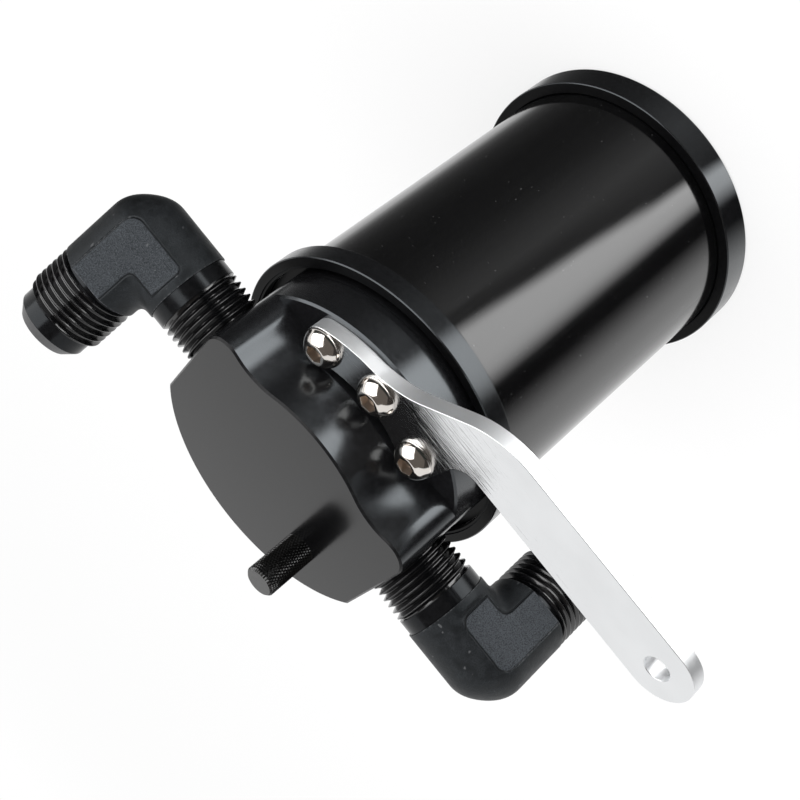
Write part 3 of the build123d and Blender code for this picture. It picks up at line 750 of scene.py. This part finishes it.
def buildElbows(s):
    body = forgedBody(s, forgingSizes)
    toArm = Matrix.Rotation(radians(90), 4, "Y")
    toLeg = Matrix.Rotation(radians(-90), 4, "X")
    bore, segments = s["boreR"], s["segments"]
    ring = turned("pipeRing", sleeve(bore, s["ringR"], s["ringStart"], s["ringEnd"]), segments, s["ringEdge"])
    pipe = threaded("pipeThread", pipeThread, threadCuts, bore)
    neck = turned("hoseNeck", sleeve(bore, s["neckR"], s["neckStart"], s["neckEnd"]), segments)
    hose = threaded("hoseThread", hoseThread, threadCuts, bore)
    nose = turned("hoseNose", sleeve(bore, s["noseR"], s["noseStart"], s["noseEnd"])[:3]
                  + [(s["coneR"], s["coneTip"]), (bore, s["coneTip"])], segments, s["noseEdge"])
    for piece in (ring, neck, nose):
        piece.data.materials.append(finishes["machined"])
    for piece in (pipe, hose):
        piece.data.materials.append(finishes["thread"])
    nose.data.materials.append(finishes["cone"])
    for face in nose.data.polygons:
        radius = hypot(face.center.x, face.center.y)
        if face.center.z > s["noseEnd"] + s["coneStart"] and radius > bore + s["coneInset"]:
            face.material_index = 1
    for piece in (pipe, hose):
        smoothed(piece)
    for piece in (ring, neck, nose):
        evened(piece)
    for piece in (ring, pipe):
        piece.data.transform(toArm)
    for piece in (neck, hose, nose):
        piece.data.transform(toLeg)
    elbow = joined("elbow", [body, ring, pipe, neck, hose, nose])
    for name, node, place, skin in (("inletElbow", "inlet_elbow", inletPlace, "forgedInlet"),
                                    ("outletElbow", "outlet_elbow", outletPlace, "forgedOutlet")):
        piece = bpy.data.objects.new(name, elbow.data.copy())
        piece.data.name = name
        piece.data.materials[0] = finishes[skin]
        scene.collection.objects.link(piece)
        placed(piece, place)
        dress(piece, "head", "black_fitting", node)
    print("elbow triangles:", sum(len(face.vertices) - 2 for face in elbow.data.polygons))
    bpy.data.objects.remove(elbow)


buildElbows(elbowSizes)
print("elbows built")

# Bracket and its button screws

plateSizes = dict(topZ=121.75, edge=0.14, edgeAngle=40, flatAngle=0.5, smoothAngle=60, facingUp=0.6,
                  sideShare=0.12)
screwSizes = dict(circleR=30.5, angles=(58, 90, 122), turns=(12, 47, 25), headR=5.25, height=3.3, crownR=2.9,
                  rim=0.4, shankR=3.0, length=12.0, hexagon=4.0, hexDepth=2.1, segments=72, domeSteps=9,
                  edge=0.12, edgeAngle=50, smoothAngle=35, socketTop=0.15, socketSpare=0.1)


def buildBracket(s):
    plate = cadCopy("bracket", "mountBracket")
    openMesh(plate)
    bpy.ops.mesh.dissolve_limited(angle_limit=radians(s["flatAngle"]))
    closeMesh()
    edge = plate.modifiers.new("edge", "BEVEL")
    edge.width = s["edge"]
    edge.segments = 3
    edge.limit_method = "ANGLE"
    edge.angle_limit = radians(s["edgeAngle"])
    applyModifiers(plate)
    plate.data.materials.append(finishes["plate"])
    evened(plate, s["smoothAngle"])
    upward = plate.data.attributes.new("upward", "FLOAT", "FACE")
    for i, face in enumerate(plate.data.polygons):
        upward.data[i].value = 1.0 if face.normal.z > s["facingUp"] else s["sideShare"]
    placed(plate)
    dress(plate, "head", "polished_plate", "bracket")


def domeOutline(s):
    # from the crown's edge down to the rim, on a circle of the head's own radius
    r = s["headR"]
    rim, crown = Vector((r, s["rim"])), Vector((s["crownR"], s["height"]))
    chord = crown - rim
    half = chord.length / 2
    across = Vector((-chord.y, chord.x)).normalized()
    centre = (rim + crown) / 2 + across * sqrt(r * r - half * half)
    first, last = (atan2(end.y - centre.y, end.x - centre.x) for end in (crown, rim))
    turns = [first + (last - first) * i / s["domeSteps"] for i in range(s["domeSteps"] + 1)]
    return [(centre.x + r * cos(turn), centre.y + r * sin(turn)) for turn in turns]


def buildScrews(s):
    outline = [(0, -s["length"]), (s["shankR"], -s["length"]), (s["shankR"], 0), (s["headR"], 0)]
    outline += list(reversed(domeOutline(s))) + [(0, s["height"])]
    screw = turned("buttonScrew", outline, s["segments"])
    hexR = s["hexagon"] / sqrt(3)
    pickNone()
    bpy.ops.mesh.primitive_cylinder_add(vertices=6, radius=hexR, depth=2 * s["hexDepth"], location=(0, 0, 0))
    socket = bpy.context.object
    socket.data.transform(Matrix.Translation((0, 0, s["height"])))
    cut = screw.modifiers.new("socket", "BOOLEAN")
    cut.operation = "DIFFERENCE"
    cut.solver = "EXACT"
    cut.object = socket
    applyModifiers(screw)
    bpy.data.objects.remove(socket)
    edge = screw.modifiers.new("edge", "BEVEL")
    edge.width = s["edge"]
    edge.segments = 2
    edge.limit_method = "ANGLE"
    edge.angle_limit = radians(s["edgeAngle"])
    applyModifiers(screw)
    screw.data.materials.clear()
    screw.data.materials.append(finishes["screw"])
    screw.data.materials.append(finishes["socket"])
    # faces inside the hex socket take the darker steel, as painted shade in the recess
    for face in screw.data.polygons:
        deep = s["height"] - face.center.z
        inside = hypot(face.center.x, face.center.y) < hexR
        if inside and s["socketTop"] < deep < s["hexDepth"] + s["socketSpare"]:
            face.material_index = 1
    smoothed(screw, s["smoothAngle"])
    copies = []
    for angle, turn in zip(s["angles"], s["turns"]):
        copy = bpy.data.objects.new("screwCopy", screw.data.copy())
        scene.collection.objects.link(copy)
        spot = (s["circleR"] * cos(radians(angle)), s["circleR"] * sin(radians(angle)), plateSizes["topZ"])
        copy.data.transform(Matrix.Translation(spot) @ Matrix.Rotation(radians(turn), 4, "Z"))
        copies.append(copy)
    bpy.data.objects.remove(screw)
    screws = joined("bracketScrews", copies)
    placed(screws)
    dress(screws, "head", "screw_steel", "bracket_screws")


buildBracket(plateSizes)
buildScrews(screwSizes)
print("bracket and screws built")

# Dipstick knob with a diamond knurl

knobSizes = dict(circleR=24.2, angle=-46.7, radius=4.25, height=14.2, chamfer=0.6, footBreak=0.6,
                 ridges=33, facets=8, lead=1.42, depth=0.42, slope=1.25, rings=76, shankR=2.8, shankEnd=-8,
                 holeR=1.55, holeTop=-4.5, grooveR=1.55, grooveLow=-2.85, grooveHigh=-1.55, endBand=0.05,
                 smoothAngle=22)


def knurl(angle, height, s):
    # 0 at the bottom of a groove, 1 on top of a diamond
    around = angle / (2 * pi) * s["ridges"]
    along = height / s["lead"]
    ridge = 1.0
    for phase in (around + along, around - along):
        ridge = min(ridge, (1 - abs(2 * (phase % 1.0) - 1)) * s["slope"])
    return ridge


def buildKnob(s):
    r, top, cut = s["radius"], s["height"], s["chamfer"]
    hole, shank, groove = s["holeR"], s["shankR"], s["grooveR"]
    outline = [(0, s["holeTop"]), (hole, s["holeTop"]), (hole, s["shankEnd"]), (shank, s["shankEnd"]),
               (shank, s["grooveLow"]), (groove, s["grooveLow"]), (groove, s["grooveHigh"]),
               (shank, s["grooveHigh"]), (shank, 0), (r - s["footBreak"], 0)]
    outline += [(r, (top - cut) * i / s["rings"]) for i in range(s["rings"] + 1)]
    outline += [(r - cut, top), (0, top)]
    knob = turned("dipstickKnob", outline, s["ridges"] * s["facets"])
    knob.data.materials.append(finishes["knob"])
    knob.data.materials.append(finishes["knobEnd"])
    for point in knob.data.vertices:
        x, y, z = point.co
        if hypot(x, y) > r - 0.01:
            dip = s["depth"] * (1 - knurl(atan2(y, x), z, s))
            point.co.x *= (r - dip) / r
            point.co.y *= (r - dip) / r
    for face in knob.data.polygons:
        if face.center.z > top - s["endBand"]:
            face.material_index = 1
    smoothed(knob, s["smoothAngle"])
    reach, angle = s["circleR"], radians(s["angle"])
    placed(knob, Matrix.Translation((reach * cos(angle), reach * sin(angle), headSizes["topZ"])))
    print("knob triangles:", sum(len(face.vertices) - 2 for face in knob.data.polygons))
    dress(knob, "dipstick", "black_knob", "dipstick_knob")


buildKnob(knobSizes)
print("knob built")

# Pieces under the head and inside the can keep the solids' shapes, with smooth round walls

insidePieces = dict(
    cap_seal=("can", "seal_rubber", "seal"), drain_plug=("can", "screw_steel", "screw"),
    drain_washer=("can", "washer_alloy", "alloy"), head_seal=("head", "seal_rubber", "seal"),
    dipstick_rod=("dipstick", "screw_steel", "rod"), dipstick_seal=("dipstick", "seal_rubber", "seal"),
    drop_tube=("head", "washer_alloy", "alloy"), filter_pad=("head", "wire_pad", "wirePad"),
    baffle_plate=("head", "washer_alloy", "alloy"), baffle_posts=("head", "washer_alloy", "alloy"),
    baffle_screws=("head", "screw_steel", "screw"),
)
for node, (body, slot, finish) in insidePieces.items():
    first, *rest = node.split("_")
    inner = cadCopy(node, first + "".join(word.capitalize() for word in rest))
    inner.data.materials.append(finishes[finish])
    smoothed(inner)
    placed(inner)
    dress(inner, body, slot, node)
print("inside pieces built:", len(insidePieces))

# Stage, in metres: pale floor, soft lamps, and boards that only show in reflections

stageSizes = dict(floor=12.0, floorZ=-0.0004, floorWhite=0.9, nearGlow=0.72, glowFade=(0.35, 1.0),
                  worldFill=0.48)
lamps = dict(
    topLamp=dict(spot=(0.15, 0.25, 1.3), target=(0, 0, 0.08), size=(1.3, 1.3), power=18.0),
    frontLamp=dict(spot=(-0.1, 1.1, 0.3), target=(0, 0, 0.1), size=(0.9, 0.4), power=4.0),
)


def lightPathShare(tree, share):
    # camera, glossy and transmission rays together
    path = tree.nodes.new("ShaderNodeLightPath")
    both = combined(tree, path.outputs["Is Camera Ray"], path.outputs["Is Glossy Ray"])
    every = combined(tree, both, path.outputs["Is Transmission Ray"], "MAXIMUM")
    return combined(tree, every, share, "MULTIPLY")


def buildFloor(s):
    # glows white to the eye and in mirrors, less so near the part, where its shadow shows
    pickNone()
    bpy.ops.mesh.primitive_plane_add(size=s["floor"], location=(0, 0, s["floorZ"]))
    floor = bpy.context.object
    floor.name = "floorPaper"
    paper = bpy.data.materials.new("paperWhite")
    paper.use_nodes = True
    tree = paper.node_tree
    tree.nodes.remove(tree.nodes["Principled BSDF"])
    dull = addNode(tree, "ShaderNodeBsdfDiffuse", Color=(s["floorWhite"],) * 3 + (1,))
    glow = addNode(tree, "ShaderNodeEmission", Color=(1, 1, 1, 1), Strength=1.0)
    mix = tree.nodes.new("ShaderNodeMixShader")
    reach = vectorStep(tree, "LENGTH", objectPlace(tree))
    share = ranged(tree, reach, s["nearGlow"], 1.0, *s["glowFade"])
    tree.links.new(lightPathShare(tree, share), mix.inputs[0])
    tree.links.new(dull.outputs[0], mix.inputs[1])
    tree.links.new(glow.outputs[0], mix.inputs[2])
    tree.links.new(mix.outputs[0], tree.nodes["Material Output"].inputs["Surface"])
    floor.data.materials.append(paper)


def buildWorld(s):
    world = bpy.data.worlds.new("studioWhite")
    scene.world = world
    world.use_nodes = True
    tree = world.node_tree
    sky = tree.nodes["Background"]
    sky.inputs["Color"].default_value = (1, 1, 1, 1)
    seen = lightPathShare(tree, 1.0)
    tree.links.new(ranged(tree, seen, s["worldFill"], 1.0, 0.0, 1.0), sky.inputs["Strength"])


def lamp(name, spot, target, size, power):
    pickNone()
    bpy.ops.object.light_add(type="AREA", location=spot)
    light = bpy.context.object
    light.name = name
    light.data.shape = "RECTANGLE"
    light.data.size, light.data.size_y = size
    light.data.energy = power
    light.rotation_euler = (Vector(target) - Vector(spot)).to_track_quat("-Z", "Y").to_euler()
    light.visible_camera = False
    light.visible_glossy = False


# The floor board's brightness by the place on the tube that shows it, in degrees from +X. One bright band
# lies between two edges that move with the reach from the tube, in millimetres; the rest stays where it is.
boardTones = dict(
    before=[(30, 1.05), (44, 1.25), (48, 1.05), (52, 0.73), (56, 0.3), (59, 0.02)],
    fromLow=[(-6, 0.03), (0, 4.1), (4, 4.8)], fromHigh=[(-2.5, 5.2), (1.5, 0.16), (6, 0.28)],
    grey=(97, 0.48), greyUpTo=92,
    after=[(104, 0.33), (108, 0.24), (112, 0.16), (116, 0.11), (124, 0.07), (132, 0.06), (142, 0.09),
           (148, 0.15), (152, 0.28), (156, 0.75), (157, 0.85)],
    lowEdge=[(0, 72.5), (165, 72.5), (200, 77), (225, 80), (300, 80)],
    highEdge=[(0, 79), (26, 81), (43, 83.5), (61, 85.5), (84, 87), (115, 89.5), (150, 91.5), (230, 93),
              (300, 93), (330, 104)],
)
boardSizes = dict(first=30, last=157, columns=127, eye=(3.1, 307.1), height=0.4,
                  reaches=(0, 13, 26, 43, 61, 84, 100, 115, 132, 150, 165, 182, 200, 225, 300, 330, 700))
overheadCards = dict(
    ceiling=(0.14, (1.0, 0.9, 0.82), [(-2.1, -0.33, 1.2), (-2.1, 3.0, 1.2), (2.1, 3.0, 1.2), (2.1, 0.5, 1.2),
                                      (0.9, 0.3, 1.2), (0.3, -0.33, 1.2)]),
    backWall=(0.04, (0.9, 1.0, 0.95), [(-2.1, 3.0, 0.0), (2.1, 3.0, 0.0), (2.1, 3.0, 1.2), (-2.1, 3.0, 1.2)]),
    leftWall=(0.05, (0.95, 1.0, 0.95), [(-2.1, -0.33, 0.0), (-2.1, 3.0, 0.0), (-2.1, 3.0, 1.2),
                                        (-2.1, -0.33, 1.2)]),
    rightWall=(0.05, (1.0, 0.9, 0.85), [(2.1, 0.5, 0.0), (2.1, 3.0, 0.0), (2.1, 3.0, 1.2), (2.1, 0.5, 1.2)]),
    softbox=(3.4, (1, 1, 1), [(-1.149, -0.12, 0.4), (-0.713, 0.91, 0.4), (-0.055, 0.63, 1.13),
                               (-0.49, -0.4, 1.13)]),
)


def toneAt(stops, angle):
    for (first, low), (last, high) in zip(stops, stops[1:]):
        if first <= angle <= last:
            return low + (high - low) * (angle - first) / (last - first)
    return stops[0][1] if angle < stops[0][0] else stops[-1][1]


def boardTone(angle, reach):
    b = boardTones
    low, high = toneAt(b["lowEdge"], reach), toneAt(b["highEdge"], reach)
    band = [(edge + turn, tone) for edge, stops in ((low, b["fromLow"]), (high, b["fromHigh"]))
            for turn, tone in stops]
    if high < b["greyUpTo"]:
        band.append(b["grey"])
    return toneAt(b["before"] + band + b["after"], angle)


def cardFinish(name, color, strength):
    paint = bpy.data.materials.new(name)
    paint.use_nodes = True
    tree = paint.node_tree
    tree.nodes.remove(tree.nodes["Principled BSDF"])
    glow = addNode(tree, "ShaderNodeEmission", Color=(*color, 1), Strength=strength)
    tree.links.new(glow.outputs[0], tree.nodes["Material Output"].inputs["Surface"])
    return paint, tree, glow


def onlyReflected(card, paint):
    card.data.materials.append(paint)
    card.visible_camera = False
    card.visible_diffuse = False
    card.visible_shadow = False
    card.visible_transmission = False


def buildBoard(b):
    # a sheet round the front of the can; each column lies where one line of the tube is mirrored
    pickNone()
    bpy.ops.mesh.primitive_grid_add(x_subdivisions=b["columns"], y_subdivisions=len(b["reaches"]) - 1, size=2)
    board = bpy.context.object
    board.name = "floorBoard"
    tones = board.data.attributes.new("tone", "FLOAT", "POINT")
    for i, point in enumerate(board.data.vertices):
        angle = b["first"] + (b["last"] - b["first"]) * (point.co.x + 1) / 2
        reach = b["reaches"][round((point.co.y + 1) / 2 * (len(b["reaches"]) - 1))]
        x, y = canSizes["tubeR"] * cos(radians(angle)), canSizes["tubeR"] * sin(radians(angle))
        heading = 2 * radians(angle) - atan2(b["eye"][1] - y, b["eye"][0] - x)
        point.co = Vector((x + reach * cos(heading), y + reach * sin(heading), b["height"])) / 1000
        tones.data[i].value = boardTone(angle, reach)
    paint, tree, glow = cardFinish("boardPaint", (1, 1, 1), 1.0)
    tone = tree.nodes.new("ShaderNodeAttribute")
    tone.attribute_name = "tone"
    tree.links.new(tone.outputs["Fac"], glow.inputs["Strength"])
    onlyReflected(board, paint)


def buildOverhead(sheets):
    for name, (strength, color, corners) in sheets.items():
        pickNone()
        bpy.ops.mesh.primitive_circle_add(vertices=len(corners), radius=1, fill_type="NGON")
        card = bpy.context.object
        card.name = name
        for point, corner in zip(card.data.vertices, corners):
            point.co = corner
        onlyReflected(card, cardFinish(name, color, strength)[0])


buildFloor(stageSizes)
buildWorld(stageSizes)
for lampName, settings in lamps.items():
    lamp(lampName, **settings)
buildBoard(boardSizes)
buildOverhead(overheadCards)
print("stage built")

# Camera at the photograph's viewing angle: its spot in millimetres and its turns in degrees

cameraView = dict(lens=66.07, sensor=36.0, clip=(0.01, 50.0), spot=(3.083, 307.116, 293.84),
                  turns=(-44.701, 40.925, 33.656))


def buildCamera(v):
    data = bpy.data.cameras.new("photoCamera")
    data.sensor_width = v["sensor"]
    data.lens = v["lens"]
    data.clip_start, data.clip_end = v["clip"]
    camera = bpy.data.objects.new("photoCamera", data)
    scene.collection.objects.link(camera)
    turns = Euler([radians(turn) for turn in v["turns"]])
    camera.matrix_world = Matrix.LocRotScale(Vector(v["spot"]) / 1000, turns, None)
    scene.camera = camera


buildCamera(cameraView)
scene.view_settings.view_transform = "Standard"
